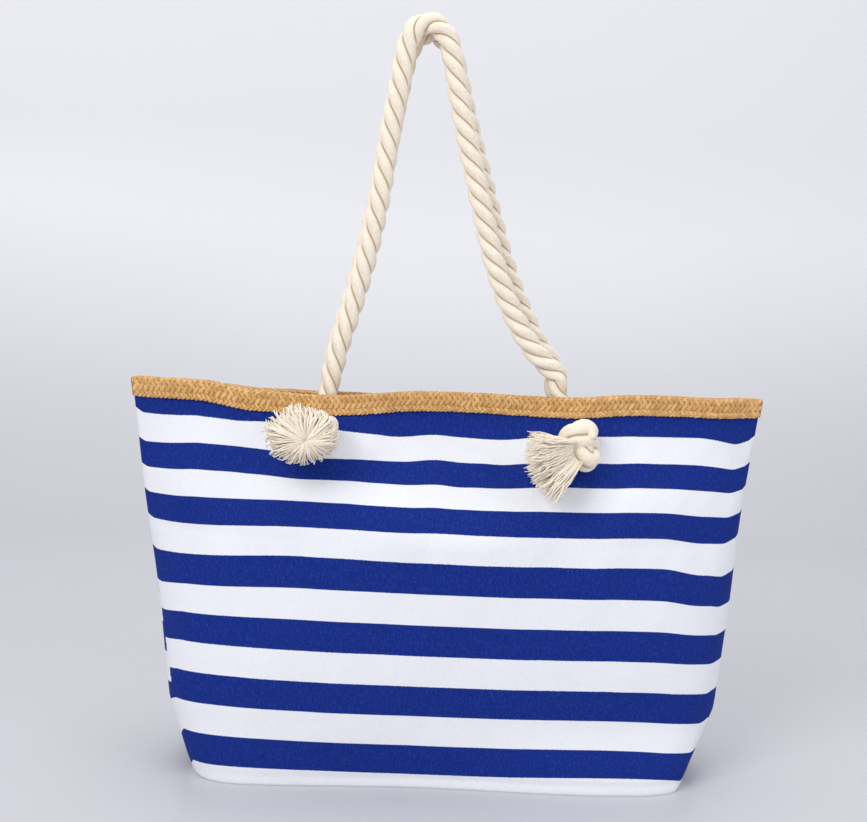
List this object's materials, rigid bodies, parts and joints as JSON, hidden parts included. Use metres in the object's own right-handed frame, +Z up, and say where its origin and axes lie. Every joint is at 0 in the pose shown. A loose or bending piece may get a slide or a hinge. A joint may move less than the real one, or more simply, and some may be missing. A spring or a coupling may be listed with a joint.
{
  "type": "beach bag",
  "caption": "Open striped canvas tote with boxed base, plaited straw trim at the rim and knotted rope handles that hinge at the rim.",
  "frame": {"origin": "on the floor under the middle of the base", "axes": "+Z up, +X to the right along the rim as seen from the front, +Y from the front panel to the back panel"},
  "size_m": [0.5204, 0.1988, 0.617],
  "materials": {
    "striped_canvas": "cotton canvas in blue and white stripes 25 mm wide",
    "lining_cloth": "plain thin polyester cloth",
    "plaited_straw": "plaited paper straw braid, matt",
    "cotton_rope": "soft three-strand cotton rope",
    "eyelet_brass": "satin brass plate",
    "nickel": "satin nickel plate",
    "zip_tape": "woven polyester tape",
    "zip_teeth": "nylon coil"
  },
  "bodies": {
    "bag": {"front_panel": "striped_canvas", "back_panel": "striped_canvas", "base_panel": "striped_canvas", "front_lining": "lining_cloth", "back_lining": "lining_cloth", "base_lining": "lining_cloth", "front_trim": "plaited_straw", "back_trim": "plaited_straw", "slip_pocket": "lining_cloth", "zip_pocket": "lining_cloth", "zip_tape": "zip_tape", "zip_chain": "zip_teeth", "snap_socket": "nickel", "snap_socket_plate": "nickel", "snap_stud": "nickel", "snap_stud_plate": "nickel", "front_left_eyelet": "eyelet_brass", "front_right_eyelet": "eyelet_brass", "back_left_eyelet": "eyelet_brass", "back_right_eyelet": "eyelet_brass", "front_left_washer": "eyelet_brass", "front_right_washer": "eyelet_brass", "back_left_washer": "eyelet_brass", "back_right_washer": "eyelet_brass", "front_left_rope_run": "cotton_rope", "front_right_rope_run": "cotton_rope", "back_left_rope_run": "cotton_rope", "back_right_rope_run": "cotton_rope", "front_left_knot": "cotton_rope", "front_right_knot": "cotton_rope", "back_left_knot": "cotton_rope", "back_right_knot": "cotton_rope", "front_left_tassel": "cotton_rope", "front_right_tassel": "cotton_rope", "back_left_tassel": "cotton_rope", "back_right_tassel": "cotton_rope"},
    "front_handle": {"front_handle_rope": "cotton_rope"},
    "back_handle": {"back_handle_rope": "cotton_rope"},
    "zip_slider_body": {"zip_slider": "nickel"},
    "zip_puller_body": {"zip_puller": "nickel"}
  },
  "joints": [
    {"name": "front_handle_fold", "type": "hinge", "parent": "bag", "child": "front_handle", "pos_m": [0, -0.0205, 0.324], "axis": [1, 0, 0], "range_deg": [0, 105]},
    {"name": "back_handle_fold", "type": "hinge", "parent": "bag", "child": "back_handle", "pos_m": [0, 0.0205, 0.324], "axis": [-1, 0, 0], "range_deg": [0, 105]},
    {"name": "zip_slide", "type": "slide", "parent": "bag", "child": "zip_slider_body", "axis": [1, 0, 0], "range_m": [0, 0.15]},
    {"name": "puller_swing", "type": "hinge", "parent": "zip_slider_body", "child": "zip_puller_body", "pos_m": [-0.075, 0.0552, 0.185], "axis": [-1, 0, 0], "range_deg": [0, 120]}
  ]
}
